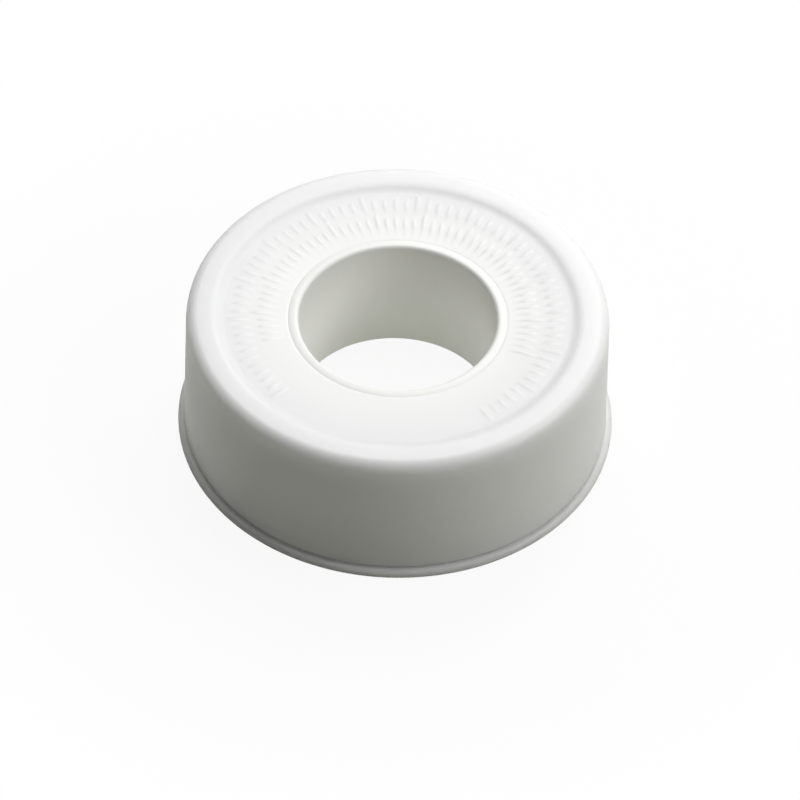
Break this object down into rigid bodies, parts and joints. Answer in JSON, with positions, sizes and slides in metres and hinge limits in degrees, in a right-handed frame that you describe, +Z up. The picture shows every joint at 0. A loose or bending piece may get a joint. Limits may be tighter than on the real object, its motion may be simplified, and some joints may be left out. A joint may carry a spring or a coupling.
{
  "type": "thread seal tape roll",
  "caption": "Round white roll of thread seal tape: a flanged spool with a through bore, wound with thin tape and closed by a pull-off cover that turns on the hub.",
  "frame": {"origin": "centre of the ring under the flange that the roll stands on", "axes": "+Z up along the bore, +X and +Y across the round base"},
  "size_m": [0.05, 0.05, 0.0175],
  "materials": {
    "spool_plastic": "satin white moulded plastic",
    "cover_plastic": "satin white moulded plastic",
    "seal_tape": "soft waxy white film"
  },
  "bodies": {
    "spool": {"spool": "spool_plastic", "tape_roll": "seal_tape"},
    "tape_end": {"tape_end": "seal_tape"},
    "cover": {"cover": "cover_plastic"}
  },
  "joints": [
    {"name": "unwind_spin", "type": "hinge", "parent": "spool", "child": "tape_end", "pos_m": [0, 0, 0.009], "axis": [0, 0, 1], "continuous": true},
    {"name": "cover_lift", "type": "slide", "parent": "tape_end", "child": "cover", "axis": [0, 0, 1], "range_m": [0, 0.03]}
  ]
}
